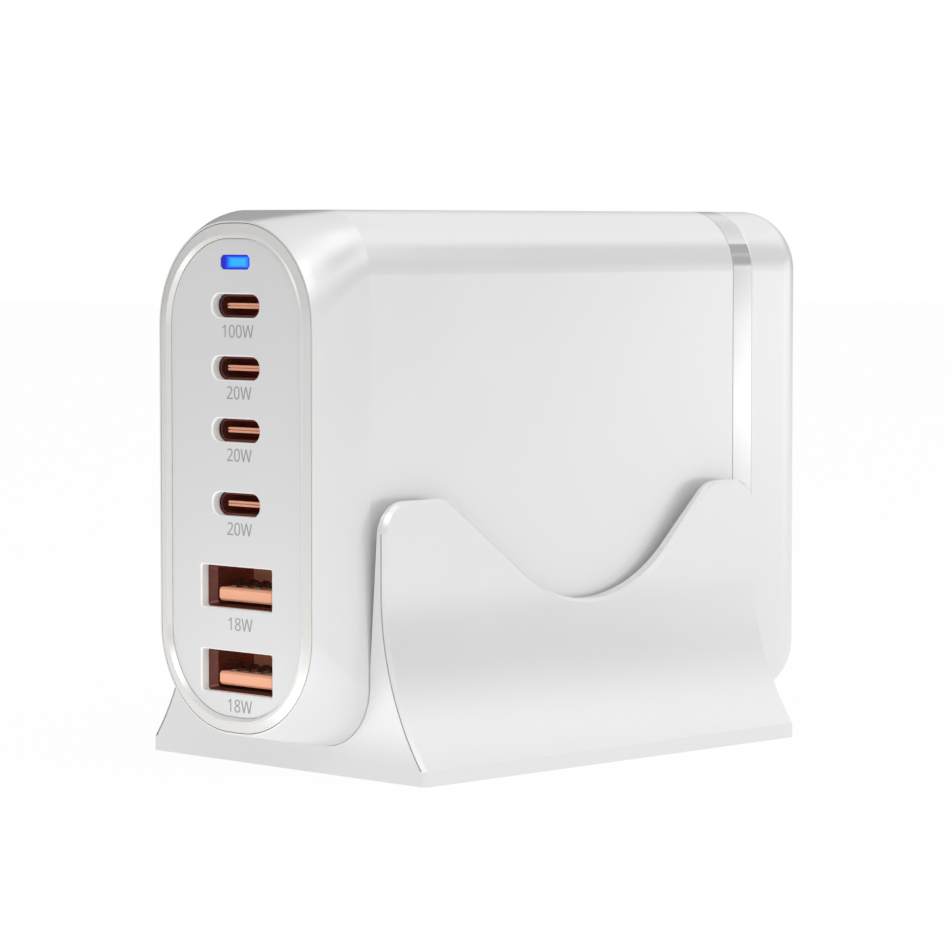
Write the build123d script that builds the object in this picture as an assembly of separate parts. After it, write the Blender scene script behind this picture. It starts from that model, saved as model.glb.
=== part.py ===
from build123d import *
import math
import os

# Multi port USB desktop charger that stands on edge in a flared cradle.
# Millimetres: X runs across the charger, Y from its front panel to its rear, Z up from the desk.

# Charger body
charger_length = 100.0        # crest of the bezel to the rear face
charger_width = 34.0
charger_height = 72.5
corner_radius = 8.7           # four long edges of the body
wall = 2.0                    # moulded walls of the housing and the trim band
front_width = 31.0            # outline of the housing's front lip
front_height = 69.5
front_flat = 2.6              # straight stretch at the top of that outline
front_taper = 9.0             # length over which the body narrows to the front lip
taper_bulge = 0.4             # share of the taper left at half its length, 0.5 being straight
taper_sections = 4
lip = 0.25                    # thickness of the front lip

# Bezel and front panel
bezel_gap = 0.1
bezel_slope = 1.45            # width of the face that falls back to the lip
bezel_drop = 0.5              # how far it falls
bezel_crest = 0.15
bezel_bead = 0.2              # eased outer edge of the crest
bezel_inner_slope = 0.4       # width of the face that leads down to the panel
bezel_ledge = 0.8             # seat under the panel's edge
bezel_depth = 3.0             # crest to the shoulder in the housing
panel_recess = 0.6            # crest to the panel's face
panel_thickness = 1.3
panel_gap = 0.05
panel_bevel = 0.12            # edge of the panel's face

# Light window
light_width = 6.0
light_height = 2.0
light_corner = 0.45
light_level = 29.2            # above the middle of the panel
light_recess = 0.15
lens_gap = 0.05
lens_flange = 0.5
lens_flange_depth = 0.8
lens_air = 0.2                # lens to lamp
lamp_width = 2.8
lamp_height = 1.6
lamp_depth = 1.2

# USB-C ports
usb_c_first_level = 23.3      # above the middle of the panel
usb_c_pitch = 8.4
usb_c_last_step = 10.0        # to the port that stands apart below the others
usb_c_paired = 3              # ports at the even pitch
usb_c_hole_width = 9.5
usb_c_hole_height = 3.2
usb_c_opening_width = 8.34
usb_c_opening_height = 2.56
usb_c_tongue_width = 6.69
usb_c_tongue_thickness = 0.7
usb_c_tongue_corner = 0.2
usb_c_tip_groove = 0.14       # line along the tongue's tip where its two halves meet
usb_c_tip_groove_depth = 0.3
usb_c_base = 3.5              # depth of the insulator's block

# USB-A ports
usb_a_first_level = -14.8
usb_a_pitch = 11.5
usb_a_count = 2
usb_a_hole_width = 14.2
usb_a_hole_height = 5.75
usb_a_hole_corner = 0.4
usb_a_opening_width = 12.5
usb_a_opening_height = 5.12
usb_a_corner = 0.6
usb_a_mouth_width = 13.8      # the shell flares to this at its front edge
usb_a_mouth_height = 5.6
usb_a_mouth_depth = 1.0
usb_a_tongue_width = 11.1
usb_a_tongue_thickness = 1.84
usb_a_tongue_drop = 1.15      # below the middle of the port
usb_a_tongue_corner = 0.5
usb_a_tongue_bevel = 0.3      # round the tongue's front face
usb_a_base = 2.5
usb_a_slot_width = 2.4        # slot round each spring of the shell
usb_a_slot_length = 4.0
usb_a_slot_start = 2.2
usb_a_slot_spacing = 5.8
usb_a_spring_width = 1.5
usb_a_spring_length = 3.2
contact_count = 4
contact_pitch = 2.4
contact_width = 1.0
contact_thickness = 0.2
contact_rise = 0.85
contact_bend = 1.5            # run of each slope of the bend
contact_setback = 1.2         # front of the tongue to the bend

# Common to all ports
hole_bevel = 0.2              # front edge of each port's hole in the panel
shell_wall = 0.3
shell_fit = 0.03              # insulator inside its shell
tongue_setback = 0.4          # tongue behind the shell's front edge
port_depth = 10.0             # rear of the panel to the port board

# Trim band and rear cover
band_width = 4.0
seam_bevel = 0.15            # edges of the housing and the cover beside the band
cover_length = 13.2           # rear edge of the band to the rear face
rear_edge_radius = 6.0
rear_wall = 2.0
neck_gap = 0.1
neck_wall = 1.2
neck_reach = 3.0              # how far the neck plugs into the housing

# Mains inlet, a figure-eight pattern with two round pins
inlet_level = -23.0           # below the middle of the rear face
inlet_width = 20.6
inlet_height = 9.6
inlet_depth = 13.5
inlet_gap = 0.1
inlet_flange = 1.0
inlet_flange_depth = 1.5
inlet_lobe = 7.7
inlet_waist = 5.6
inlet_cavity = 11.0
pin_pitch = 8.6
pin_diameter = 2.36
pin_recess = 1.2
pin_tip = 0.5
pin_gap = 0.02
pin_tail = 2.5
lead_diameter = 1.8
lead_bend = 2.5
lead_spacing = 3.6
lead_margin = 2.0             # rear end of the board to the nearer lead

# Circuit boards
board_thickness = 1.6
board_side_room = 2.6         # solder side of the main board to the housing
board_edge_room = 3.45        # long edges of the main board to the housing
board_end_gap = 0.3
port_board_gap = 0.3          # round the port board
rail_width = 1.6
rail_gap = 0.1
rail_grip = 1.5

# Parts on the boards
headroom = 5.0                # tallest parts to the far wall
part_gap = 1.0
transformer_depth = 12.0
transformer_width = 24.0
core_yoke = 4.5
core_leg = 8.0
core_side_leg = 3.2
coil_gap = 0.2
capacitor_diameter = 13.0
capacitor_count = 2
capacitor_bead = 0.4
capacitor_shoulder = 0.8
filter_length = 14.0
filter_thickness = 5.6
filter_height = 11.0
choke_diameter = 11.0
choke_bore = 4.6
choke_height = 7.0
fuse_diameter = 6.4
fuse_height = 6.5
spreader_length = 34.0
spreader_thickness = 1.5
spreader_height = 18.0
rectifier_length = 16.0
rectifier_thickness = 3.4
rectifier_height = 14.0
rectifier_corner = 2.0
transistor_count = 2
transistor_width = 7.0
transistor_thickness = 4.4
transistor_height = 9.0
transistor_tab = 1.3
transistor_tab_height = 14.0
inductor_side = 6.4
inductor_height = 4.2
inductor_place = 6.0          # across the port board
output_capacitor_diameter = 5.0
output_capacitor_height = 6.0
output_capacitor_place = -3.5

# Stand
stand_length = 75.2
stand_width = 55.2
stand_setback = 8.8           # front lip of the housing to the stand's front
foot_height = 2.1
floor_thickness = 3.85
wing_height = 37.4
wing_spread = 39.8            # across the outer faces of the wings
flare_radius = 38.3
channel_gap = 0.15
lead_in_level = 15.0          # above this the wings lean away from the charger
lead_in_angle = 4.2
wing_front_radius = 4.3
wing_top_radius = 5.0
front_slope_start = 12.1      # from the stand's front
rear_slope_start = 10.0       # from the stand's rear
dip_place = 43.0              # where the two slopes would meet
dip_level = 14.9
dip_radius = 22.5
edge_bevel = 0.5
groove_width = 0.25
groove_depth = 0.4
core_wall = 2.2               # walls round the pockets in the underside
core_height = 12.0
core_bays = 2
keel_width = 22.0             # solid strip along the middle of the underside

# Places worked out from the sizes
charger_middle = floor_thickness + charger_height / 2
front_y = -charger_length / 2
rear_y = charger_length / 2
lip_y = front_y + bezel_drop
taper_end = lip_y + front_taper
shoulder_y = front_y + bezel_depth
panel_y = front_y + panel_recess
panel_back = panel_y + panel_thickness
bezel_inset = lip + bezel_gap
crest_inset = bezel_inset + bezel_slope
window_inset = crest_inset + bezel_crest + bezel_inner_slope
port_board_front = panel_back + port_depth
port_board_back = port_board_front + board_thickness
cover_front = rear_y - cover_length
band_front = cover_front - band_width
neck_front = band_front - neck_reach
neck_inset = wall + neck_gap
board_end = neck_front - board_end_gap
board_back_x = -charger_width / 2 + wall + board_side_room
board_face_x = board_back_x + board_thickness
board_top = charger_height / 2 - wall - board_edge_room
tall_part = charger_width / 2 - wall - headroom - board_face_x
stand_front = lip_y + stand_setback
stand_rear = stand_front + stand_length
usb_c_levels = [usb_c_first_level - usb_c_pitch * i for i in range(usb_c_paired)]
usb_c_levels.append(usb_c_levels[-1] - usb_c_last_step)
usb_a_levels = [usb_a_first_level - usb_a_pitch * i for i in range(usb_a_count)]


def front_plane(y, z=charger_middle, x=0.0):
    """Plane at depth y that faces the front, with its own y axis up."""
    return Plane(origin=(x, y, z), x_dir=(1, 0, 0), z_dir=(0, -1, 0))


def board_plane(y, z):
    """Plane on the main board's component side, its axes along Y and Z."""
    return Plane(origin=(board_face_x, y, charger_middle + z), x_dir=(0, 1, 0), z_dir=(1, 0, 0))


def port_board_plane(x, z):
    """Plane on the rear of the port board, its own y axis up."""
    return Plane(origin=(x, port_board_back, charger_middle + z), x_dir=(-1, 0, 0), z_dir=(0, 1, 0))


def through(sketch, y_start, y_end, z=charger_middle, x=0.0):
    """Solid of a front-facing sketch from one depth to another."""
    return extrude(front_plane(y_start, z, x) * sketch, amount=y_start - y_end)


def outline(width, height, radius, inset):
    return RectangleRounded(width - 2 * inset, height - 2 * inset, radius - inset)


def body_section(inset=0.0):
    return outline(charger_width, charger_height, corner_radius, inset)


def front_outline(inset=0.0):
    return outline(front_width, front_height, (front_width - front_flat) / 2, inset)


def taper_section(y, inset):
    """Section of the tapered front at depth y, between the front outline and the full body."""
    run = (y - lip_y) / front_taper
    share = 1 + (4 * taper_bulge - 3) * run + (2 - 4 * taper_bulge) * run ** 2
    width = charger_width + (front_width - charger_width) * share
    height = charger_height + (front_height - charger_height) * share
    radius = corner_radius + ((front_width - front_flat) / 2 - corner_radius) * share
    return front_plane(y) * outline(width, height, radius, inset)


def tapered_front(y_start, inset):
    step = (taper_end - y_start) / (taper_sections - 1)
    return loft([taper_section(y_start + step * i, inset) for i in range(taper_sections)])


def frustum(inset_start, y_start, inset_end, y_end):
    """Solid between two insets of the front outline."""
    start = front_plane(y_start) * front_outline(inset_start)
    end = front_plane(y_end) * front_outline(inset_end)
    return loft([start, end], ruled=True)


def make_main_housing():
    outside = tapered_front(lip_y, 0.0) + through(body_section(), taper_end, band_front)
    outside = chamfer(outside.faces().sort_by(Axis.Y)[-1].edges(), seam_bevel)
    inside = tapered_front(shoulder_y, wall) + through(body_section(wall), taper_end, band_front)
    pocket = through(front_outline(lip), lip_y, shoulder_y)
    rails = Part()
    rail_middle = (port_board_back + board_end) / 2
    rail_length = board_end - port_board_back
    rail_foot = board_top - rail_grip
    rail_depth = charger_height / 2 - rail_foot
    for x in (board_back_x - rail_gap - rail_width / 2, board_face_x + rail_gap + rail_width / 2):
        for side in (1, -1):
            z = charger_middle + side * (rail_foot + rail_depth / 2)
            rails += Pos(x, rail_middle, z) * Box(rail_width, rail_length, rail_depth)
    return outside - inside - pocket + (rails & outside)


def make_trim_band():
    return through(body_section(), band_front, cover_front) - through(body_section(wall), band_front, cover_front)


def make_rear_cover():
    cap = through(body_section(), cover_front, rear_y)
    cap = fillet(cap.faces().sort_by(Axis.Y)[-1].edges(), rear_edge_radius)
    cap = chamfer(cap.faces().sort_by(Axis.Y)[0].edges(), seam_bevel)
    neck = through(body_section(neck_inset), neck_front, cover_front)
    hollow = through(body_section(neck_inset + neck_wall), neck_front, rear_y - rear_wall)
    hole = through(
        outline(inlet_width, inlet_height, inlet_height / 2 - inlet_gap, -inlet_gap),
        rear_y - rear_wall, rear_y, charger_middle + inlet_level)
    return cap + neck - hollow - hole


def make_front_bezel():
    bead_inset, bead_y = crest_inset - bezel_bead, front_y + bezel_bead
    ring = through(front_outline(bezel_inset), lip_y, shoulder_y)
    ring += frustum(bead_inset, bead_y, bezel_inset, lip_y)
    ring += frustum(crest_inset, front_y, bead_inset, bead_y)
    ring -= frustum(crest_inset + bezel_crest, front_y, window_inset, panel_y)
    ring -= through(front_outline(window_inset), panel_y, panel_back)
    return ring - through(front_outline(window_inset + bezel_ledge), panel_back, shoulder_y)


def light_window(gap):
    frame = Rectangle(light_width - 2 * gap, light_height - 2 * gap)
    return chamfer(frame.vertices(), light_corner)


def make_front_panel():
    plate = through(front_outline(window_inset + panel_gap), panel_y, panel_back)
    plate = chamfer(plate.faces().sort_by(Axis.Y)[0].edges(), panel_bevel)
    plate -= through(light_window(0.0), panel_y, panel_back, charger_middle + light_level)
    for level in usb_c_levels:
        hole = SlotOverall(usb_c_hole_width, usb_c_hole_height)
        plate -= through(hole, panel_y, panel_back, charger_middle + level)
    for level in usb_a_levels:
        hole = RectangleRounded(usb_a_hole_width, usb_a_hole_height, usb_a_hole_corner)
        plate -= through(hole, panel_y, panel_back, charger_middle + level)
    holes = plate.faces().sort_by(Axis.Y)[0].inner_wires().sort_by(Axis.Z)
    return chamfer(holes[:-1].edges(), hole_bevel)


def make_indicator_lens():
    z = charger_middle + light_level
    flange = Rectangle(light_width + 2 * lens_flange, light_height + 2 * lens_flange)
    lens = through(light_window(lens_gap), panel_y + light_recess, panel_back, z)
    lens += through(flange, panel_back, panel_back + lens_flange_depth, z)
    guide_end = port_board_front - lamp_depth - lens_air
    return lens + through(light_window(lens_gap), panel_back + lens_flange_depth, guide_end, z)


def make_indicator_led():
    lamp = Rectangle(lamp_width, lamp_height)
    return through(lamp, port_board_front - lamp_depth, port_board_front, charger_middle + light_level)


def usb_c_outline(inset):
    width = usb_c_opening_width - 2 * inset
    return SlotOverall(width, usb_c_opening_height - 2 * inset)


def make_usb_c_shell(level):
    z = charger_middle + level
    shell = through(usb_c_outline(-shell_wall), panel_back, port_board_front, z)
    return shell - through(usb_c_outline(0.0), panel_back, port_board_front, z)


def make_usb_c_tongue(level):
    z = charger_middle + level
    base = through(usb_c_outline(shell_fit), port_board_front - usb_c_base, port_board_front, z)
    blade = RectangleRounded(usb_c_tongue_width, usb_c_tongue_thickness, usb_c_tongue_corner)
    tip = panel_back + tongue_setback
    tongue = through(blade, tip, port_board_front - usb_c_base, z)
    groove = Rectangle(usb_c_tongue_width, usb_c_tip_groove)
    return base + tongue - through(groove, tip, tip + usb_c_tip_groove_depth, z)


def usb_a_outline(inset):
    return outline(usb_a_opening_width, usb_a_opening_height, usb_a_corner, inset)


def usb_a_tube(inset, z):
    """Straight run of the shell with its flared mouth."""
    throat = panel_back + usb_a_mouth_depth
    mouth = outline(usb_a_mouth_width, usb_a_mouth_height, usb_a_corner, inset)
    flare = loft([front_plane(panel_back, z) * mouth, front_plane(throat, z) * usb_a_outline(inset)], ruled=True)
    return flare + through(usb_a_outline(inset), throat, port_board_front, z)


def make_usb_a_shell(level):
    z = charger_middle + level
    shell = usb_a_tube(-shell_wall, z) - usb_a_tube(0.0, z)
    slot_height = usb_a_opening_height + 4 * shell_wall
    slot_y = panel_back + usb_a_slot_start + usb_a_slot_length / 2
    spring_y = panel_back + usb_a_slot_start + usb_a_slot_length - usb_a_spring_length / 2
    for side in (1, -1):
        x = side * usb_a_slot_spacing / 2
        slot = Pos(x, slot_y, z) * Box(usb_a_slot_width, usb_a_slot_length, slot_height)
        spring = Pos(x, spring_y, z) * Box(usb_a_spring_width, usb_a_spring_length, slot_height)
        shell -= slot - spring
    return shell


def make_usb_a_tongue(level):
    z = charger_middle + level
    base = through(usb_a_outline(shell_fit), port_board_front - usb_a_base, port_board_front, z)
    blade = RectangleRounded(usb_a_tongue_width, usb_a_tongue_thickness, usb_a_tongue_corner)
    tongue = through(
        blade, panel_back + tongue_setback, port_board_front - usb_a_base, z - usb_a_tongue_drop)
    return base + chamfer(tongue.faces().sort_by(Axis.Y)[0].edges(), usb_a_tongue_bevel)


def make_usb_a_contacts(level):
    """Bent strips that lie on top of the tongue and spring up near its front."""
    seat = charger_middle + level - usb_a_tongue_drop + usb_a_tongue_thickness / 2
    start = panel_back + tongue_setback + contact_setback
    crest = start + contact_bend
    heel = crest + contact_bend
    end = port_board_front - usb_a_base
    top = seat + contact_thickness
    side_view = Plane.YZ * make_face(Polyline(
        (start, seat), (crest, seat + contact_rise), (heel, seat), (end, seat), (end, top),
        (heel, top), (crest, top + contact_rise), (start, top), close=True))
    first = -contact_pitch * (contact_count - 1) / 2
    strips = [
        Pos(first + contact_pitch * i, 0, 0) * extrude(side_view, amount=contact_width / 2, both=True)
        for i in range(contact_count)]
    return Compound(children=strips)


def make_port_board():
    return through(body_section(wall + port_board_gap), port_board_front, port_board_back)


def make_main_board():
    length = board_end - port_board_back
    middle = (port_board_back + board_end) / 2
    place = Pos(board_face_x - board_thickness / 2, middle, charger_middle)
    return place * Box(board_thickness, length, 2 * board_top)


def inlet_figure_eight():
    lobes = Pos(-pin_pitch / 2, 0) * Circle(inlet_lobe / 2) + Pos(pin_pitch / 2, 0) * Circle(inlet_lobe / 2)
    return lobes + Rectangle(pin_pitch, inlet_waist)


def make_ac_inlet():
    z = charger_middle + inlet_level
    radius = inlet_height / 2 - inlet_gap
    body = through(outline(inlet_width, inlet_height, radius, 0.0), rear_y - inlet_depth, rear_y, z)
    flange_back = rear_y - rear_wall
    flange = outline(inlet_width, inlet_height, radius, -inlet_flange)
    body += through(flange, flange_back - inlet_flange_depth, flange_back, z)
    body -= through(inlet_figure_eight(), rear_y - inlet_cavity, rear_y, z)
    for side in (1, -1):
        hole = Circle(pin_diameter / 2 + pin_gap)
        body -= through(hole, rear_y - inlet_depth, rear_y, z, side * pin_pitch / 2)
    return body


def make_ac_inlet_pins():
    z = charger_middle + inlet_level
    pins = []
    for side in (1, -1):
        tail_end = rear_y - inlet_depth - pin_tail
        pin = through(Circle(pin_diameter / 2), tail_end, rear_y - pin_recess, z, side * pin_pitch / 2)
        pins.append(fillet(pin.faces().sort_by(Axis.Y)[-1].edges(), pin_tip))
    return Compound(children=pins)


def make_inlet_leads():
    z = charger_middle + inlet_level
    start = rear_y - inlet_depth - pin_tail
    leads = []
    for side, turn in ((-1, board_end - lead_margin), (1, board_end - lead_margin - lead_spacing)):
        x = side * pin_pitch / 2
        route = FilletPolyline((x, start, z), (x, turn, z), (board_face_x, turn, z), radius=lead_bend)
        leads.append(sweep(front_plane(start, z, x) * Circle(lead_diameter / 2), path=route))
    return Compound(children=leads)


def transformer_place():
    coil_half = transformer_depth / 2 + (transformer_width - core_leg) / 2 - core_side_leg
    return port_board_back + output_capacitor_height + part_gap + coil_half


def make_transformer_core():
    """Two E halves: yokes at the board and at the top, a middle leg and two side legs."""
    place = board_plane(transformer_place(), 0.0)
    core = extrude(place * Rectangle(transformer_depth, transformer_width), amount=tall_part)
    window = (transformer_width - core_leg) / 2 - core_side_leg
    for side in (1, -1):
        z = side * (core_leg + window) / 2
        opening = board_plane(transformer_place(), z) * Rectangle(transformer_depth, window)
        core -= extrude(opening, amount=tall_part - core_yoke) - extrude(opening, amount=core_yoke)
    return core


def make_transformer_coil():
    window = (transformer_width - core_leg) / 2 - core_side_leg
    build = window - coil_gap
    place = board_plane(transformer_place(), 0.0).offset(core_yoke + coil_gap)
    outer = RectangleRounded(transformer_depth + 2 * build, core_leg + 2 * build, build)
    inner = Rectangle(transformer_depth + 2 * coil_gap, core_leg + 2 * coil_gap)
    return extrude(place * (outer - inner), amount=tall_part - 2 * (core_yoke + coil_gap))


def capacitor_row():
    """Depth of the row of bulk capacitors, behind the transformer's coil."""
    coil_half = transformer_place() - port_board_back - output_capacitor_height - part_gap
    return transformer_place() + coil_half + part_gap + capacitor_diameter / 2


def filter_level():
    return board_top - rail_grip - part_gap - filter_thickness / 2


def capacitor_levels():
    first = filter_level() - filter_thickness / 2 - part_gap - capacitor_diameter / 2
    return [first - (capacitor_diameter + part_gap) * i for i in range(capacitor_count)]


def make_bulk_capacitors():
    cans = []
    for level in capacitor_levels():
        place = board_plane(capacitor_row(), level)
        can = extrude(place * Circle(capacitor_diameter / 2), amount=tall_part)
        can = fillet(can.faces().sort_by(Axis.X)[-1].edges(), capacitor_shoulder)
        ring = Circle(capacitor_diameter / 2) - Circle(capacitor_diameter / 2 - capacitor_bead)
        bead = place.offset(2 * capacitor_shoulder) * ring
        cans.append(can - extrude(bead, amount=capacitor_shoulder))
    return Compound(children=cans)


def make_filter_capacitor():
    y = board_end - part_gap - filter_length / 2
    return extrude(board_plane(y, filter_level()) * Rectangle(filter_length, filter_thickness), amount=filter_height)


def fuse_level():
    return filter_level() - filter_thickness / 2 - part_gap - fuse_diameter / 2


def make_input_fuse():
    y = board_end - part_gap - fuse_diameter / 2
    return extrude(board_plane(y, fuse_level()) * Circle(fuse_diameter / 2), amount=fuse_height)


def make_input_choke():
    y = board_end - part_gap - choke_diameter / 2
    z = fuse_level() - fuse_diameter / 2 - part_gap - choke_diameter / 2
    ring = Circle(choke_diameter / 2) - Circle(choke_bore / 2)
    choke = extrude(board_plane(y, z) * ring, amount=choke_height)
    return fillet(choke.faces().sort_by(Axis.X)[-1].edges(), part_gap)


def spreader_level():
    """Upper face of the heat spreader."""
    return -board_top + rail_grip + part_gap + spreader_thickness


def spreader_start():
    return port_board_back + output_capacitor_height + part_gap


def make_heat_spreader():
    y = spreader_start() + spreader_length / 2
    z = spreader_level() - spreader_thickness / 2
    return extrude(board_plane(y, z) * Rectangle(spreader_length, spreader_thickness), amount=spreader_height)


def make_bridge_rectifier():
    y = spreader_start() + rectifier_length / 2
    z = spreader_level() + rectifier_thickness / 2
    block = extrude(board_plane(y, z) * Rectangle(rectifier_length, rectifier_thickness), amount=rectifier_height)
    corner = block.edges().filter_by(Axis.Z).sort_by(lambda edge: edge.center().X - edge.center().Y)[-1]
    return chamfer(corner, rectifier_corner)


def make_power_transistors():
    cases = []
    first = spreader_start() + rectifier_length + part_gap + transistor_width / 2
    for i in range(transistor_count):
        y = first + (transistor_width + part_gap) * i
        tab = Rectangle(transistor_width, transistor_tab)
        case = Rectangle(transistor_width, transistor_thickness)
        solid = extrude(
            board_plane(y, spreader_level() + transistor_tab / 2) * tab, amount=transistor_tab_height)
        solid += extrude(
            board_plane(y, spreader_level() + transistor_thickness / 2) * case, amount=transistor_height)
        cases.append(solid)
    return Compound(children=cases)


def make_output_inductors():
    case = RectangleRounded(inductor_side, inductor_side, part_gap)
    return Compound(children=[
        extrude(port_board_plane(inductor_place, level) * case, amount=inductor_height)
        for level in usb_c_levels])


def make_output_capacitors():
    can = Circle(output_capacitor_diameter / 2)
    return Compound(children=[
        extrude(port_board_plane(output_capacitor_place, level) * can, amount=output_capacitor_height)
        for level in usb_c_levels + usb_a_levels])


def flare_profile(inset=0.0):
    """Front view of the stand without its channel: foot lips, flared sides and upright wings."""
    wing = wing_spread / 2 - inset
    foot = stand_width / 2 - inset
    radius = flare_radius + inset
    centre_x = wing_spread / 2 + flare_radius
    centre_z = foot_height + math.sqrt(flare_radius ** 2 - (centre_x - stand_width / 2) ** 2)
    turn = math.acos((centre_x - foot) / radius)
    foot_top = centre_z - radius * math.sin(turn)
    edges = [Line((-foot, 0), (foot, 0)), Line((-wing, wing_height), (wing, wing_height))]
    for side in (1, -1):
        middle = (side * (centre_x - radius * math.cos(turn / 2)), centre_z - radius * math.sin(turn / 2))
        edges.append(Line((side * foot, 0), (side * foot, foot_top)))
        edges.append(ThreePointArc((side * foot, foot_top), middle, (side * wing, centre_z)))
        edges.append(Line((side * wing, centre_z), (side * wing, wing_height)))
    return make_face(edges)


def channel_profile(outset=0.0):
    """Front view of the channel that the charger stands in, leaning open towards its top."""
    half = charger_width / 2 + channel_gap + outset
    floor = floor_thickness - outset
    lean = (wing_height - lead_in_level) * math.tan(math.radians(lead_in_angle))
    corners = Polyline(
        (-half - lean, wing_height), (-half, lead_in_level), (-half, floor),
        (half, floor), (half, lead_in_level), (half + lean, wing_height), close=True)
    face = make_face(corners)
    return fillet(face.vertices().sort_by(Axis.Y)[:2], corner_radius + channel_gap + outset)


def wing_outline():
    """Side view of the wings: two rounded horns with a wide dip between them."""
    rear_slope = stand_length - rear_slope_start
    corners = make_face(Polyline(
        (0, 0), (0, wing_height), (front_slope_start, wing_height), (dip_place, dip_level),
        (rear_slope, wing_height), (stand_length, wing_height), (stand_length, 0), close=True))
    for place, radius in (
            ((0, wing_height), wing_front_radius), ((stand_length, wing_height), wing_front_radius),
            ((front_slope_start, wing_height), wing_top_radius), ((rear_slope, wing_height), wing_top_radius),
            ((dip_place, dip_level), dip_radius)):
        vertex = corners.vertices().sort_by_distance((*place, 0))[0]
        corners = fillet(vertex, radius)
    return corners


def lengthwise(profile, y_start, y_end):
    """Solid of a stand profile from one depth to another."""
    return through(profile, y_start, y_end, 0.0)


def make_stand():
    block = lengthwise(flare_profile(), stand_front, stand_rear)
    side_view = Plane(origin=(0, stand_front, 0), x_dir=(0, 1, 0), z_dir=(1, 0, 0)) * wing_outline()
    block &= extrude(side_view, amount=stand_width, both=True)
    ends = block.faces().filter_by(Axis.Y)
    bevelled = [edge for edge in ends.edges() if abs(edge.center().X) > wing_spread / 4]
    for face in block.faces().filter_by(Axis.X):
        wing_face = abs(abs(face.center().X) - wing_spread / 2) < edge_bevel
        if wing_face:
            foot_line = face.edges().sort_by(Axis.Z)[0]
            bevelled += [edge for edge in face.edges() if edge != foot_line]
    block = chamfer(bevelled, edge_bevel)
    block -= lengthwise(channel_profile(), stand_front, stand_rear)
    line_height = wing_height - wing_front_radius - foot_height
    line = flare_profile(edge_bevel) - flare_profile(edge_bevel + groove_width)
    line &= Pos(0, foot_height + line_height / 2) * Rectangle(stand_width, line_height)
    block -= lengthwise(line, stand_front, stand_front + groove_depth)
    pocket = flare_profile(core_wall) - channel_profile(core_wall) - Rectangle(keel_width, wing_height)
    pocket &= Rectangle(stand_width, 2 * core_height)
    bay = (stand_length - core_wall * (core_bays + 1)) / core_bays
    for i in range(core_bays):
        start = stand_front + core_wall + (bay + core_wall) * i
        block -= lengthwise(pocket, start, start + bay)
    return block


pieces = {
    "stand": make_stand(),
    "main_housing": make_main_housing(),
    "trim_band": make_trim_band(),
    "rear_cover": make_rear_cover(),
    "front_bezel": make_front_bezel(),
    "front_panel": make_front_panel(),
    "indicator_lens": make_indicator_lens(),
    "indicator_led": make_indicator_led(),
    "ac_inlet": make_ac_inlet(),
    "ac_inlet_pins": make_ac_inlet_pins(),
    "inlet_leads": make_inlet_leads(),
    "port_board": make_port_board(),
    "main_board": make_main_board(),
    "transformer_core": make_transformer_core(),
    "transformer_coil": make_transformer_coil(),
    "bulk_capacitors": make_bulk_capacitors(),
    "filter_capacitor": make_filter_capacitor(),
    "input_fuse": make_input_fuse(),
    "input_choke": make_input_choke(),
    "heat_spreader": make_heat_spreader(),
    "bridge_rectifier": make_bridge_rectifier(),
    "power_transistors": make_power_transistors(),
    "output_inductors": make_output_inductors(),
    "output_capacitors": make_output_capacitors(),
}
for number, level in enumerate(usb_c_levels, 1):
    pieces[f"usb_c_shell_{number}"] = make_usb_c_shell(level)
    pieces[f"usb_c_tongue_{number}"] = make_usb_c_tongue(level)
for number, level in enumerate(usb_a_levels, 1):
    pieces[f"usb_a_shell_{number}"] = make_usb_a_shell(level)
    pieces[f"usb_a_tongue_{number}"] = make_usb_a_tongue(level)
    pieces[f"usb_a_contacts_{number}"] = make_usb_a_contacts(level)

os.makedirs("parts", exist_ok=True)
for name, shape in pieces.items():
    export_step(shape, f"parts/{name}.step")
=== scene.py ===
"""Finishes, printed ratings, contact pads, studio and camera for a multi port USB desktop charger."""

from __future__ import annotations

import logging
import math
from dataclasses import dataclass, field, replace
from enum import Enum
from typing import Any, Union

import bmesh
import bpy
from mathutils import Matrix, Vector


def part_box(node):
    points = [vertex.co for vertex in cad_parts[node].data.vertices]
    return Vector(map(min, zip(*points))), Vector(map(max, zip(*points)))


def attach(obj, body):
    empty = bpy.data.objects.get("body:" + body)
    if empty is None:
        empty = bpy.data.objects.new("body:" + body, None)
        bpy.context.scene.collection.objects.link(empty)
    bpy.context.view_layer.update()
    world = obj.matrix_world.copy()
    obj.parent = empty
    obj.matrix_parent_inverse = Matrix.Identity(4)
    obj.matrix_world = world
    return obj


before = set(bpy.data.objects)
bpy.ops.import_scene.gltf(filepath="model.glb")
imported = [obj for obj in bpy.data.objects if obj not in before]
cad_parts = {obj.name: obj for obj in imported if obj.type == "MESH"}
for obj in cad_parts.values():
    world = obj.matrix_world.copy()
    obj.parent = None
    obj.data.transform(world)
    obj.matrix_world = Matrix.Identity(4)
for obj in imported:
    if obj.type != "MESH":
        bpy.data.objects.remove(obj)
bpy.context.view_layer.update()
log = logging.getLogger("charger")

MM = 0.001
BODY = "root"
PAPER_ROUGHNESS = 0.9
Colour = tuple[float, float, float]


class Grain(Enum):
    """Texture of a moulding tool's surface: cells per metre, and their height in metres."""

    POLISHED = (2200.0, 0.4e-6)
    SATIN = (5200.0, 1.4e-6)
    MATT = (7600.0, 2.6e-6)
    ROUGH = (3000.0, 9.0e-6)


class Draw(Enum):
    """Direction in which a metal piece was drawn or brushed, as stretch factors of its fine lines."""

    NONE = (1.0, 1.0, 1.0)
    ALONG_Y = (1.0, 0.03, 1.0)


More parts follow.
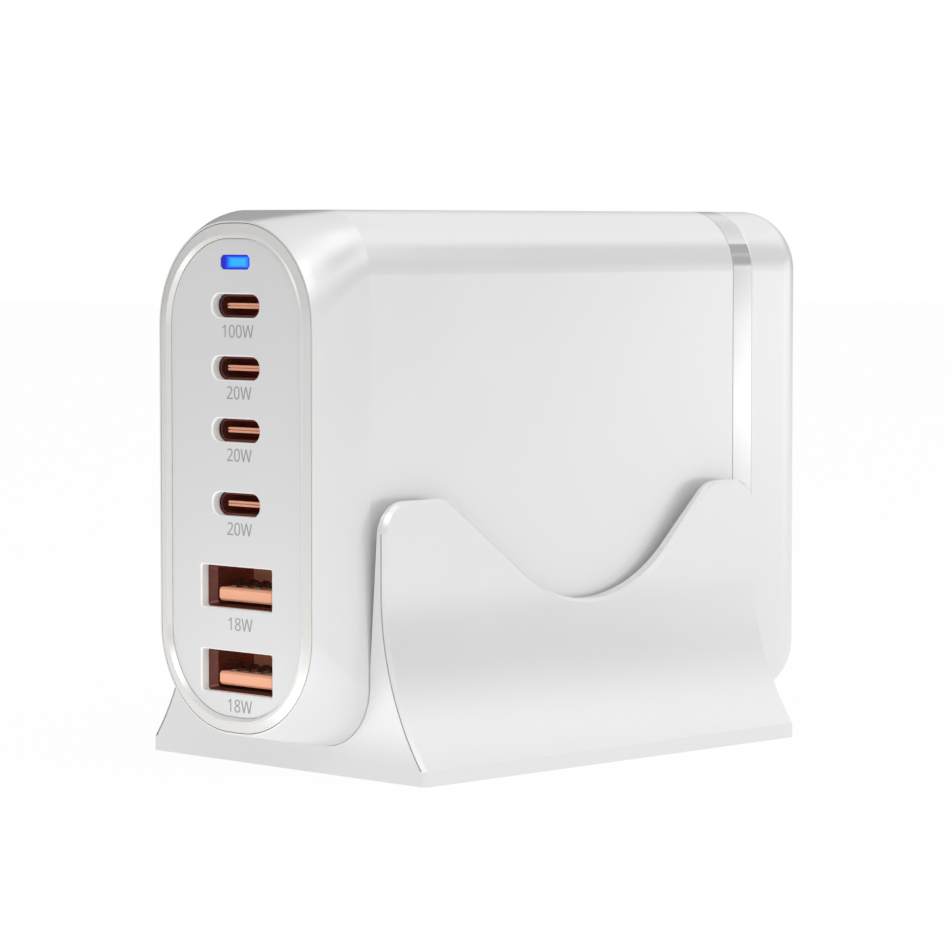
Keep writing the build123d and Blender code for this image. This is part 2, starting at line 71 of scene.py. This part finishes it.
class Signal:
    """Output socket of a node that takes part in Python arithmetic, one Math node per operator."""

    def __init__(self, graph: "Graph", socket: bpy.types.NodeSocket) -> None:
        """Keeps the graph and the socket."""
        self.graph = graph
        self.socket = socket

    def combine(self, operation: str, first: "Operand", second: "Operand") -> "Signal":
        """Adds a Math node.

        Args:
            operation: name of the Math node's operation.
            first: its first value.
            second: its second value.

        Returns:
            The node's output.
        """
        return self.graph.node("ShaderNodeMath", {"operation": operation}, {0: first, 1: second})

    def __add__(self, other: "Operand") -> "Signal":
        """Sum."""
        return self.combine("ADD", self, other)

    def __radd__(self, other: "Operand") -> "Signal":
        """Sum with a number on the left."""
        return self.combine("ADD", other, self)

    def __sub__(self, other: "Operand") -> "Signal":
        """Difference."""
        return self.combine("SUBTRACT", self, other)

    def __rsub__(self, other: "Operand") -> "Signal":
        """Difference with a number on the left."""
        return self.combine("SUBTRACT", other, self)

    def __mul__(self, other: "Operand") -> "Signal":
        """Product."""
        return self.combine("MULTIPLY", self, other)

    def __rmul__(self, other: "Operand") -> "Signal":
        """Product with a number on the left."""
        return self.combine("MULTIPLY", other, self)

    def __truediv__(self, other: "Operand") -> "Signal":
        """Quotient."""
        return self.combine("DIVIDE", self, other)

    def __rtruediv__(self, other: "Operand") -> "Signal":
        """Quotient with a number on the left."""
        return self.combine("DIVIDE", other, self)

    def __or__(self, other: "Operand") -> "Signal":
        """Larger of the two."""
        return self.combine("MAXIMUM", self, other)

    def __ror__(self, other: "Operand") -> "Signal":
        """Larger of the two, with a number on the left."""
        return self.combine("MAXIMUM", other, self)

    def __lt__(self, other: "Operand") -> "Signal":
        """One where the value is the smaller of the two, otherwise zero."""
        return self.combine("LESS_THAN", self, other)

    def size(self) -> "Signal":
        """Value without its sign."""
        return self.combine("ABSOLUTE", self, 0.0)


Operand = Union[Signal, float]


class Graph:
    """Node tree of one material or of the world."""

    def __init__(self, tree: bpy.types.NodeTree) -> None:
        """Empties the tree and keeps it."""
        tree.nodes.clear()
        self.tree = tree

    def node(self, kind: str, settings: dict[str, Any] | None = None,
             inputs: dict[str | int, Any] | None = None, output: str | int = 0) -> Signal:
        """Adds any node.

        Args:
            kind: the node's type.
            settings: its properties, set first; "stops" holds a ramp's positions and colours.
            inputs: values or links of its sockets.
            output: the socket to hand back.

        Returns:
            The chosen output.
        """
        made = self.tree.nodes.new(kind)
        for name, value in (settings or {}).items():
            if name == "stops":
                self.set_stops(made.color_ramp, value)
            else:
                setattr(made, name, value)
        for name, value in (inputs or {}).items():
            self.feed(made.inputs[name], value)
        return Signal(self, made.outputs[output]) if made.outputs else Signal(self, None)

    def feed(self, socket: bpy.types.NodeSocket, value: Any) -> None:
        """Links a signal to a socket, or sets the socket's own value.

        Args:
            socket: the input to set.
            value: a signal, a number, a vector or a colour.
        """
        if isinstance(value, Signal):
            self.tree.links.new(value.socket, socket)
        elif socket.type == "RGBA":
            socket.default_value = (*value, 1.0)
        else:
            socket.default_value = value

    @staticmethod
    def set_stops(ramp: bpy.types.ColorRamp, stops: list[tuple[float, Colour]]) -> None:
        """Gives a ramp its positions and colours.

        Args:
            ramp: the ramp of a colour ramp node.
            stops: positions in rising order, each with its colour.
        """
        while len(ramp.elements) < len(stops):
            ramp.elements.new(1.0)
        for element, (position, colour) in zip(ramp.elements, stops):
            element.position = position
            element.color = (*colour, 1.0)

    def place(self) -> Signal:
        """Object coordinates, which are the charger's own frame in metres."""
        return self.node("ShaderNodeTexCoord", output="Object")

    def along(self, axis: str) -> Signal:
        """One of the object coordinates, X, Y or Z."""
        return self.node("ShaderNodeSeparateXYZ", {}, {0: self.place()}, axis)

    def noise(self, place: Signal, scale: float, detail: float = 2.0) -> Signal:
        """Noise from 0 to 1 with that many cells per metre."""
        return self.node("ShaderNodeTexNoise", {}, {"Vector": place, "Scale": scale, "Detail": detail})

    def blend(self, share: Operand, low: Any, high: Any) -> Signal:
        """Colour between two colours."""
        return self.node("ShaderNodeMix", {"data_type": "RGBA"}, {0: share, 6: low, 7: high}, output=2)

    def bump(self, height: Signal, depth: float) -> Signal:
        """Normal of a surface with that height, whose full range is depth metres."""
        return self.node("ShaderNodeBump", {}, {"Height": height, "Strength": 1.0, "Distance": depth})

    def surface(self, **inputs: Any) -> Signal:
        """Principled surface; a socket's name is written with _ for its spaces."""
        named = {name.replace("_", " "): value for name, value in inputs.items()}
        return self.node("ShaderNodeBsdfPrincipled", {}, named)

    def end(self, shader: Signal, kind: str = "ShaderNodeOutputMaterial") -> None:
        """Joins the shader to the tree's output."""
        self.node(kind, {}, {"Surface": shader})


def new_material(name: str) -> tuple[bpy.types.Material, Graph]:
    """Starts a material with an empty graph.

    Args:
        name: the finish's name.

    Returns:
        The material and its graph.
    """
    material = bpy.data.materials.new(name)
    material.use_nodes = True
    return material, Graph(material.node_tree)


def shade(colour: Colour, factor: float) -> Colour:
    """Darker or lighter version of a colour."""
    return tuple(min(1.0, part * factor) for part in colour)


@dataclass(frozen=True)
class Moulding:
    """Moulded plastic or epoxy: a fine tool texture, a faint cloud in tone and gloss, any pearl lacquer.

    The lacquer may end at a depth along Y, with the bare moulding behind it.
    """

    name: str
    colour: Colour
    roughness: float
    grain: Grain = Grain.SATIN
    cloud: float = 0.02
    cloud_cells: float = 60.0
    cloud_detail: float = 3.0
    gloss_spread: float = 0.06
    pearl: float = 0.0
    bare: Colour = (0.94, 0.94, 0.93)
    bare_behind: float | None = None

    def material(self) -> bpy.types.Material:
        """Makes the material.

        Returns:
            The material.
        """
        made, graph = new_material(self.name)
        place = graph.place()
        cells, height = self.grain.value
        grain = graph.noise(place, cells)
        cloud = graph.noise(place, self.cloud_cells, self.cloud_detail)
        tone = graph.blend(
            cloud, shade(self.colour, 1.0 - self.cloud), shade(self.colour, 1.0 + self.cloud))
        pearl: Operand = self.pearl
        if self.bare_behind is not None:
            lacquered = graph.along("Y") < self.bare_behind
            tone = graph.blend(lacquered, self.bare, tone)
            pearl = self.pearl * lacquered
        graph.end(graph.surface(
            Base_Color=tone,
            Roughness=self.roughness + self.gloss_spread * (grain + cloud - 1.0),
            Metallic=pearl,
            Normal=graph.bump(grain, height)))
        return made


@dataclass(frozen=True)
class Metal:
    """Plated, drawn or polished metal with fine lines along its draw, less bright where it is oxidised.

    A painted reflection colour, where one is given, tints it inwards from its mouth over a depth along Y:
    painted reflection of the orange tongue, lighter deeper inside a port.
    """

    name: str
    colour: Colour
    roughness: float
    draw: Draw = Draw.NONE
    line_cells: float = 9000.0
    line_depth: float = 1.0e-6
    line_gloss: float = 0.4
    patch_cells: float = 220.0
    patch_detail: float = 4.0
    tarnish: float = 0.08
    bright: float = 1.0
    # Colour of the painted reflection deep inside a port, with the mouth and depth over which it fades in.
    painted_reflection: Colour | None = None
    mouth: float = 0.0
    depth: float = 7.0 * MM

    def material(self) -> bpy.types.Material:
        """Makes the material.

        Returns:
            The material.
        """
        made, graph = new_material(self.name)
        place = graph.place()
        stretched = graph.node("ShaderNodeMapping", {}, {"Vector": place, "Scale": self.draw.value})
        lines = graph.noise(stretched, self.line_cells)
        patches = graph.noise(place, self.patch_cells, self.patch_detail)
        tone = graph.blend(patches, shade(self.colour, 1.0 - self.tarnish), self.colour)
        # Painted reflection: lighter orange inwards from the mouth, standing in for the tongue's light
        # reflected inside the port.
        if self.painted_reflection is not None:
            tone = graph.blend((graph.along("Y") - self.mouth) / self.depth, tone, self.painted_reflection)
        graph.end(graph.surface(
            Base_Color=tone,
            Metallic=self.bright,
            Roughness=self.roughness * (1.0 + self.line_gloss * (lines - 0.5)),
            Normal=graph.bump(lines, self.line_depth)))
        return made


@dataclass(frozen=True)
class LitGuide:
    """Clear guide with a lamp behind it: a bright core that falls off over its flanks to a deep rim."""

    name: str
    core: Colour
    flank: Colour
    rim: Colour
    centre: Vector
    half_width: float
    half_height: float
    strength: float
    core_edge: float = 0.18
    flank_place: float = 0.5
    rim_place: float = 0.75
    rim_fade: float = 0.6
    dark_body: Colour = (0.0, 0.01, 0.12)
    lit_body: Colour = (0.02, 0.05, 0.3)
    roughness: float = 0.18
    gloss_spread: float = 0.05
    gloss_cells: float = 1500.0

    def material(self) -> bpy.types.Material:
        """Makes the material.

        Returns:
            The material.
        """
        made, graph = new_material(self.name)
        across = (graph.along("X") - self.centre.x).size() / self.half_width
        up = (graph.along("Z") - self.centre.z).size() / self.half_height
        stops = [
            (0.0, self.core), (self.core_edge, self.core), (self.flank_place, self.flank),
            (self.rim_place, self.rim), (1.0, shade(self.rim, self.rim_fade))]
        glow = graph.node("ShaderNodeValToRGB", {"stops": stops}, {"Fac": across * across | up * up})
        graph.end(graph.surface(
            Base_Color=graph.blend(glow, self.dark_body, self.lit_body),
            Roughness=self.roughness + self.gloss_spread * graph.noise(graph.place(), self.gloss_cells),
            Emission_Color=glow,
            Emission_Strength=self.strength))
        return made


@dataclass(frozen=True)
class BoardLacquer:
    """Solder lacquer over a glass weave."""

    name: str
    colour: Colour
    weave_pitch: float = 0.5 * MM
    weave_depth: float = 4.0e-6
    weave_share: float = 0.3
    cloud_cells: float = 140.0
    tone_spread: float = 0.2
    roughness: float = 0.3
    gloss_spread: float = 0.15

    def material(self) -> bpy.types.Material:
        """Makes the material.

        Returns:
            The material.
        """
        made, graph = new_material(self.name)
        place = graph.place()
        squares = {"Vector": place, "Scale": 1.0 / self.weave_pitch}
        weave = graph.node("ShaderNodeTexChecker", {}, squares, output="Fac")
        cloud = graph.noise(place, self.cloud_cells)
        tone = graph.blend(
            cloud * (1.0 - self.weave_share) + weave * self.weave_share,
            shade(self.colour, 1.0 - self.tone_spread), shade(self.colour, 1.0 + self.tone_spread))
        graph.end(graph.surface(
            Base_Color=tone,
            Roughness=self.roughness + self.gloss_spread * cloud,
            Normal=graph.bump(weave, self.weave_depth)))
        return made


def dress(nodes: list[str], finish: Moulding | Metal | LitGuide | BoardLacquer) -> None:
    """Gives CAD nodes a finish.

    Args:
        nodes: names of the nodes.
        finish: the finish they share.
    """
    material = finish.material()
    for name in nodes:
        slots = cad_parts[name].data.materials
        slots.clear()
        slots.append(material)
        log.info("%s wears %s", name, finish.name)


def add_piece(name: str, mesh: bpy.types.Mesh, finish: Moulding | Metal) -> bpy.types.Object:
    """Adds a finished mesh to the charger.

    Args:
        name: the piece's name.
        mesh: its mesh, already in place.
        finish: what it is made of.

    Returns:
        The new object.
    """
    mesh.materials.clear()
    mesh.materials.append(finish.material())
    piece = bpy.data.objects.new(name, mesh)
    bpy.context.scene.collection.objects.link(piece)
    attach(piece, BODY)
    log.info("%s built with %d faces", name, len(mesh.polygons))
    return piece


@dataclass
class Casing:
    """Housing, rear cover, trim band, bezel and front panel."""

    body: Moulding = Moulding("pearl_white_shell", (0.83, 0.83, 0.83), 0.31, pearl=0.45)
    bezel: Moulding = Moulding("warm_white_bezel", (0.78, 0.77, 0.75), 0.31, pearl=0.45)
    panel: Moulding = Moulding("pearl_white_panel", (0.79, 0.79, 0.795), 0.33, Grain.MATT, pearl=0.45)
    lacquer_wrap: float = 0.03 * MM
    band: Metal = Metal("polished_band", (0.71, 0.71, 0.72), 0.1, bright=0.7)

    def dress(self) -> None:
        """Gives each casing part its finish."""
        dress(["main_housing", "rear_cover"], self.body)
        dress(["front_bezel"], self.bezel)
        lacquer_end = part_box("front_panel")[0].y + self.lacquer_wrap
        dress(["front_panel"], replace(self.panel, bare_behind=lacquer_end))
        dress(["trim_band"], self.band)


@dataclass
class CradleStand:
    """Flared stand that the charger rests in."""

    shell: Moulding = Moulding("pearl_white_stand", (0.83, 0.83, 0.83), 0.31, pearl=0.45)

    def dress(self) -> None:
        """Gives the stand its finish."""
        dress(["stand"], self.shell)


@dataclass
class StatusLight:
    """Lit window above the ports."""

    core: Colour = (0.01, 0.42, 1.0)
    flank: Colour = (0.0, 0.08, 0.9)
    rim: Colour = (0.0, 0.0, 0.55)
    half_width: float = 3.0 * MM
    half_height: float = 1.0 * MM
    core_shift: float = 0.5 * MM
    strength: float = 1.0
    lamp: Moulding = Moulding("lamp_package", (0.80, 0.74, 0.40), 0.3, Grain.POLISHED)

    def dress(self) -> None:
        """Lights the guide and finishes the lamp behind it."""
        low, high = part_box("indicator_lens")
        glow_middle = (low + high) / 2 + Vector((self.core_shift, 0.0, 0.0))
        guide = LitGuide("lit_blue_guide", self.core, self.flank, self.rim, glow_middle,
                         self.half_width, self.half_height, self.strength)
        dress(["indicator_lens"], guide)
        dress(["indicator_led"], self.lamp)


@dataclass
class PortColumn:
    """USB ports behind the front panel, with the contact pads of the USB-C tongues."""

    usb_c_count: int = 4
    usb_a_count: int = 2
    pad_count: int = 12
    pad_pitch: float = 0.5 * MM
    pad_size: Vector = field(default_factory=lambda: Vector((0.25, 2.4, 0.04)) * MM)
    pad_setback: float = 0.7 * MM
    pad_bevel: float = 0.01 * MM
    tongue_thickness: float = 0.7 * MM
    # Dark red-brown shells: painted shade inside the ports, reddened by painted reflection of the orange
    # tongues; the lighter orange further in is painted reflection too.
    shell: Metal = Metal(
        "port_shade_shell", (0.14, 0.035, 0.026), 0.28, Draw.ALONG_Y,
        tarnish=0.2, bright=0.45, painted_reflection=(0.85, 0.27, 0.17))
    # Depth over which the painted reflection turns lighter inside the USB-A shells.
    wide_depth: float = 16.0 * MM
    insulator: Moulding = Moulding("orange_insulator", (0.99, 0.48, 0.3), 0.42, Grain.POLISHED)
    # Dark olive grey contacts and pads: painted shade of metal that sits in the ports' shade.
    contact: Metal = Metal("port_shade_contact", (0.30, 0.29, 0.24), 0.35, Draw.ALONG_Y)

    def dress(self) -> None:
        """Gives shells, tongues and contacts their finishes."""
        usb_c = range(1, self.usb_c_count + 1)
        usb_a = range(1, self.usb_a_count + 1)
        shell = replace(self.shell, mouth=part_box("usb_c_shell_1")[0].y)
        wide_shell = replace(shell, name="port_shade_wide_shell", depth=self.wide_depth)
        dress([f"usb_c_shell_{i}" for i in usb_c], shell)
        dress([f"usb_a_shell_{i}" for i in usb_a], wide_shell)
        dress([f"usb_c_tongue_{i}" for i in usb_c] + [f"usb_a_tongue_{i}" for i in usb_a], self.insulator)
        dress([f"usb_a_contacts_{i}" for i in usb_a], self.contact)

    def build(self) -> None:
        """Lays two rows of pads on each USB-C tongue, above and below."""
        for number in range(1, self.usb_c_count + 1):
            low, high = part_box(f"usb_c_tongue_{number}")
            middle = (low + high) / 2
            pads = bmesh.new()
            for side in (1, -1):
                for i in range(self.pad_count):
                    self.add_pad(pads, Vector((
                        middle.x + (i - (self.pad_count - 1) / 2) * self.pad_pitch,
                        low.y + self.pad_setback + self.pad_size.y / 2,
                        middle.z + side * self.tongue_thickness / 2)))
            mesh = bpy.data.meshes.new(f"usb_c_pads_{number}")
            pads.to_mesh(mesh)
            pads.free()
            add_piece(f"usb_c_pads_{number}", mesh, self.contact)

    def add_pad(self, pads: bmesh.types.BMesh, place: Vector) -> None:
        """Adds one pad with eased edges.

        Args:
            pads: the mesh that it joins.
            place: its middle.
        """
        shape = Matrix.Translation(place) @ Matrix.Diagonal((*self.pad_size, 1.0))
        made = bmesh.ops.create_cube(pads, size=1.0, matrix=shape)
        edges = list({edge for vertex in made["verts"] for edge in vertex.link_edges})
        bmesh.ops.bevel(
            pads, geom=edges, offset=self.pad_bevel, affect="EDGES", segments=1, profile=0.5, material=-1)


@dataclass(frozen=True)
class Rating:
    """One printed rating: its words, the port above it, and its drop and shift from that port's middle."""

    words: str
    port: str
    drop: float
    shift: float


@dataclass
class PrintedRatings:
    """Ratings printed in grey under the ports."""

    cap_height: float = 1.76 * MM
    stretch: float = 1.03
    ink_depth: float = 0.02 * MM
    ink: Moulding = Moulding("grey_print", (0.34, 0.34, 0.35), 0.6, Grain.MATT)
    sans_serif: dict[int, int] = field(default_factory=lambda: str.maketrans(
        "0128W", "\U0001D7E2\U0001D7E3\U0001D7E4\U0001D7EA\U0001D5B6"))
    ratings: tuple[Rating, ...] = (
        Rating("100W", "usb_c_shell_1", 3.4 * MM, 0.6 * MM),
        Rating("20W", "usb_c_shell_2", 3.3 * MM, 0.8 * MM),
        Rating("20W", "usb_c_shell_3", 3.3 * MM, 0.8 * MM),
        Rating("20W", "usb_c_shell_4", 3.3 * MM, 0.8 * MM),
        Rating("18W", "usb_a_shell_1", 4.9 * MM, 0.9 * MM),
        Rating("18W", "usb_a_shell_2", 4.5 * MM, 0.75 * MM),
    )

    def build(self) -> None:
        """Prints every rating on the panel's face."""
        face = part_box("front_panel")[0].y
        for number, rating in enumerate(self.ratings, 1):
            low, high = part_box(rating.port)
            middle = (low + high) / 2
            mesh = self.letters(rating.words)
            mesh.transform(Matrix.Translation((middle.x + rating.shift, face, middle.z - rating.drop)))
            add_piece(f"rating_{number}", mesh, self.ink)

    def letters(self, words: str) -> bpy.types.Mesh:
        """Makes words into a mesh.

        Args:
            words: what to print.

        Returns:
            A mesh that stands upright facing the front, centred on the origin, its back on the XZ plane.
        """
        curve = bpy.data.curves.new("print", "FONT")
        curve.body = words.translate(self.sans_serif)
        curve.fill_mode = "BOTH"
        curve.extrude = 0.5
        text = bpy.data.objects.new("print", curve)
        bpy.context.scene.collection.objects.link(text)
        bpy.context.view_layer.update()
        graph = bpy.context.evaluated_depsgraph_get()
        mesh = bpy.data.meshes.new_from_object(text.evaluated_get(graph))
        bpy.data.objects.remove(text)
        bpy.data.curves.remove(curve)
        corners = [vertex.co for vertex in mesh.vertices]
        low = Vector(min(corner[axis] for corner in corners) for axis in range(3))
        high = Vector(max(corner[axis] for corner in corners) for axis in range(3))
        scale = self.cap_height / (high.y - low.y)
        centre = Matrix.Translation(-Vector(((low.x + high.x) / 2, (low.y + high.y) / 2, low.z)))
        size = Matrix.Diagonal((scale * self.stretch, scale, self.ink_depth / (high.z - low.z), 1.0))
        mesh.transform(Matrix.Rotation(math.pi / 2, 4, "X") @ size @ centre)
        return mesh


@dataclass
class MainsInlet:
    """Inlet in the rear cover with its pins and leads."""

    body: Moulding = Moulding("black_inlet", (0.018, 0.018, 0.02), 0.45, Grain.MATT, gloss_spread=0.1)
    pins: Metal = Metal("nickel_pins", (0.66, 0.64, 0.60), 0.2, Draw.ALONG_Y)
    leads: Moulding = Moulding("lead_insulation", (0.05, 0.05, 0.055), 0.5)

    def dress(self) -> None:
        """Gives the inlet its finishes."""
        dress(["ac_inlet"], self.body)
        dress(["ac_inlet_pins"], self.pins)
        dress(["inlet_leads"], self.leads)


@dataclass
class Electronics:
    """Boards and the parts on them, closed in by the casing."""

    finishes: tuple[tuple[tuple[str, ...], Moulding | Metal | BoardLacquer], ...] = (
        (("port_board", "main_board"), BoardLacquer("green_lacquer", (0.02, 0.16, 0.06))),
        (("transformer_core", "input_choke"),
         Moulding("sintered_core", (0.03, 0.03, 0.032), 0.62, Grain.ROUGH)),
        (("transformer_coil",),
         Moulding("winding_tape", (0.72, 0.42, 0.04), 0.4, Grain.POLISHED, cloud=0.08)),
        (("bulk_capacitors",), Moulding("dark_sleeve", (0.012, 0.016, 0.035), 0.28, Grain.POLISHED)),
        (("filter_capacitor",), Moulding("yellow_case", (0.66, 0.38, 0.03), 0.35, Grain.SATIN)),
        (("input_fuse",), Moulding("brown_case", (0.06, 0.028, 0.016), 0.35, Grain.SATIN)),
        (("bridge_rectifier", "power_transistors", "output_inductors"),
         Moulding("black_package", (0.016, 0.016, 0.016), 0.58, Grain.ROUGH)),
        (("heat_spreader",), Metal("rolled_sheet", (0.70, 0.70, 0.71), 0.35, Draw.ALONG_Y)),
        (("output_capacitors",), Metal("drawn_can", (0.74, 0.74, 0.75), 0.25, Draw.ALONG_Y)),
    )

    def dress(self) -> None:
        """Gives each part its finish."""
        for nodes, finish in self.finishes:
            dress(list(nodes), finish)


@dataclass(frozen=True)
class Softbox:
    """Square studio light of even radiance, hidden from the camera, facing the charger or straight up."""

    name: str
    place: tuple[float, float, float]
    side: float
    radiance: float
    upward: bool = False

    def build(self, charger: Vector) -> bpy.types.Object:
        """Places the light.

        Args:
            charger: the point that it faces.

        Returns:
            The light.
        """
        lamp = bpy.data.lights.new(self.name, "AREA")
        lamp.shape = "SQUARE"
        lamp.size = self.side
        lamp.energy = math.pi * self.side ** 2 * self.radiance
        light = bpy.data.objects.new(self.name, lamp)
        light.location = self.place
        light.rotation_mode = "QUATERNION"
        aim = Vector((0.0, 0.0, 1.0)) if self.upward else charger - light.location
        light.rotation_quaternion = aim.to_track_quat("-Z", "Y")
        light.visible_camera = False
        bpy.context.scene.collection.objects.link(light)
        return light


@dataclass(frozen=True)
class Flag:
    """Dark card that only shows in the charger's gloss."""

    name: str
    middle: tuple[float, float, float]
    width: float
    height: float
    turn: float
    tone: float = 0.02

    def build(self) -> bpy.types.Object:
        """Stands the card upright, turned about the vertical.

        Returns:
            The card.
        """
        card = bmesh.new()
        turned = Matrix.Translation(self.middle) @ Matrix.Rotation(math.radians(self.turn), 4, "Z")
        sized = Matrix.Diagonal((self.width, self.height, 1.0, 1.0))
        upright = Matrix.Rotation(math.pi / 2, 4, "X") @ sized
        bmesh.ops.create_grid(card, x_segments=1, y_segments=1, size=0.5, matrix=turned @ upright)
        mesh = bpy.data.meshes.new(self.name)
        card.to_mesh(mesh)
        card.free()
        material, graph = new_material(self.name)
        graph.end(graph.surface(Base_Color=(self.tone,) * 3, Roughness=PAPER_ROUGHNESS))
        mesh.materials.append(material)
        flag = bpy.data.objects.new(self.name, mesh)
        flag.visible_camera = flag.visible_diffuse = flag.visible_shadow = False
        bpy.context.scene.collection.objects.link(flag)
        return flag


@dataclass
class Studio:
    """Light table, pale surroundings and soft lights."""

    floor_side: float = 6.0
    floor_colour: Colour = (0.97, 0.97, 0.97)
    floor_lift: float = 0.95
    middle: Vector = field(default_factory=lambda: Vector((0.0, 0.0, 0.04)))
    bright_side: tuple[float, float, float] = (0.643, 0.766, 0.0)
    bright_belt: tuple[tuple[float, float], ...] = (
        (0, 0.25), (5, 0.5), (15, 0.4), (20, 0.6), (26, 1.1), (33, 1.3), (42, 1.05), (55, 0.9), (90, 0.95))
    dim_belt: tuple[tuple[float, float], ...] = (
        (0, 0.15), (10, 0.55), (20, 0.65), (42, 0.6), (90, 0.8))
    softboxes: tuple[Softbox, ...] = (
        Softbox("key", (0.675, -0.39, 0.49), 0.3, 1.65),
        Softbox("ceiling_near", (0.5, -0.5, 0.8), 0.45, 1.35),
        Softbox("ceiling_right", (0.32, 0.03, 0.8), 0.36, 0.6),
        Softbox("front_right", (0.12, -0.5, 0.12), 0.12, 0.6),
        Softbox("right_low", (0.5, -0.05, 0.06), 0.14, 0.85),
        Softbox("rear_low", (0.206, 0.77, 0.11), 0.16, 1.2),
        Softbox("side_kicker", (0.3, 0.45, 0.06), 0.12, 0.8),
        Softbox("close_kicker", (0.16, 0.24, 0.07), 0.07, 0.25),
        Softbox("front_glow", (0.0, -0.076, 0.002), 0.03, 1.3, upward=True),
        Softbox("corner_glow", (0.036, -0.07, 0.002), 0.03, 0.4, upward=True),
        Softbox("rear_glow", (0.5, 0.87, 0.002), 0.5, 0.5, upward=True),
    )
    flags: tuple[Flag, ...] = (
        Flag("rear_left_flag", (-0.45, 0.18, 0.3), 0.34, 0.4, 63.0),
        Flag("edge_flag", (0.08, 0.1, 0.136), 0.14, 0.046, 90.0, 0.55),
        Flag("nose_flag", (0.4, -0.045, 0.46), 0.2, 0.26, 90.0, 0.4),
    )

    def build(self) -> None:
        """Builds the floor, the lights and the surroundings."""
        bpy.context.scene.view_settings.view_transform = "Standard"
        self.build_floor()
        for softbox in self.softboxes:
            softbox.build(self.middle)
        for flag in self.flags:
            flag.build()
        self.build_surroundings()

    def build_floor(self) -> None:
        """Lays a light table, lit from below, that keeps a faint shadow of the charger."""
        plane = bmesh.new()
        bmesh.ops.create_grid(plane, x_segments=1, y_segments=1, size=self.floor_side / 2)
        mesh = bpy.data.meshes.new("floor")
        plane.to_mesh(mesh)
        plane.free()
        floor = bpy.data.objects.new("floor", mesh)
        bpy.context.scene.collection.objects.link(floor)
        material, graph = new_material("white_floor")
        paint = graph.surface(Base_Color=self.floor_colour, Roughness=PAPER_ROUGHNESS)
        white = graph.node("ShaderNodeEmission", {}, {"Color": (1.0, 1.0, 1.0), "Strength": 1.0})
        graph.end(graph.node("ShaderNodeMixShader", {}, {0: self.floor_lift, 1: paint, 2: white}))
        mesh.materials.append(material)

    def build_surroundings(self) -> None:
        """Lights the charger from pale surroundings with lighter and darker belts, against white."""
        world = bpy.data.worlds.new("studio")
        world.use_nodes = True
        bpy.context.scene.world = world
        graph = Graph(world.node_tree)
        way = graph.node("ShaderNodeTexCoord", output="Generated")
        rise = graph.node("ShaderNodeSeparateXYZ", {}, {0: way}, output="Z")
        facing = graph.node(
            "ShaderNodeVectorMath", {"operation": "DOT_PRODUCT"}, {0: way, 1: self.bright_side}, "Value")
        dim, bright = self.belt(rise, self.dim_belt), self.belt(rise, self.bright_belt)
        belts = graph.blend(0.5 + 0.5 * facing, dim, bright)
        room = graph.node("ShaderNodeBackground", {}, {"Color": belts, "Strength": 1.0})
        white = graph.node("ShaderNodeBackground", {}, {"Color": (1.0, 1.0, 1.0), "Strength": 1.0})
        seen = graph.node("ShaderNodeLightPath", output="Is Camera Ray")
        either = graph.node("ShaderNodeMixShader", {}, {0: seen, 1: room, 2: white})
        graph.end(either, "ShaderNodeOutputWorld")

    @staticmethod
    def belt(rise: Signal, levels: tuple[tuple[float, float], ...]) -> Signal:
        """Brightness of the surroundings by elevation.

        Args:
            rise: upward part of the direction.
            levels: elevations in degrees, each with its radiance.

        Returns:
            The radiance as a grey colour.
        """
        stops = [(math.sin(math.radians(angle)), (level,) * 3) for angle, level in levels]
        return rise.graph.node("ShaderNodeValToRGB", {"stops": stops}, {"Fac": rise})


@dataclass
class Viewpoint:
    """Camera at the photograph's angle."""

    place: Vector = field(default_factory=lambda: Vector((0.39893, -0.4033, 0.07323)))
    azimuth: float = 44.95
    elevation: float = 3.505
    lens: float = 149.82
    sensor: float = 36.0

    def build(self) -> None:
        """Sets up the camera."""
        data = bpy.data.cameras.new("photograph")
        data.lens = self.lens
        data.sensor_width = self.sensor
        camera = bpy.data.objects.new("photograph", data)
        turn, rise = math.radians(self.azimuth), math.radians(self.elevation)
        back = Vector((math.sin(turn) * math.cos(rise), -math.cos(turn) * math.cos(rise), math.sin(rise)))
        camera.location = self.place
        camera.rotation_mode = "QUATERNION"
        camera.rotation_quaternion = (-back).to_track_quat("-Z", "Y")
        bpy.context.scene.collection.objects.link(camera)
        bpy.context.scene.camera = camera


def main() -> None:
    """Builds and dresses the charger, then sets the studio and the camera."""
    logging.basicConfig(level=logging.INFO, format="%(name)s: %(message)s")
    ports = PortColumn()
    for assembly in (Casing(), CradleStand(), StatusLight(), ports, MainsInlet(), Electronics()):
        assembly.dress()
    ports.build()
    PrintedRatings().build()
    Studio().build()
    Viewpoint().build()


if __name__ == "__main__":
    main()
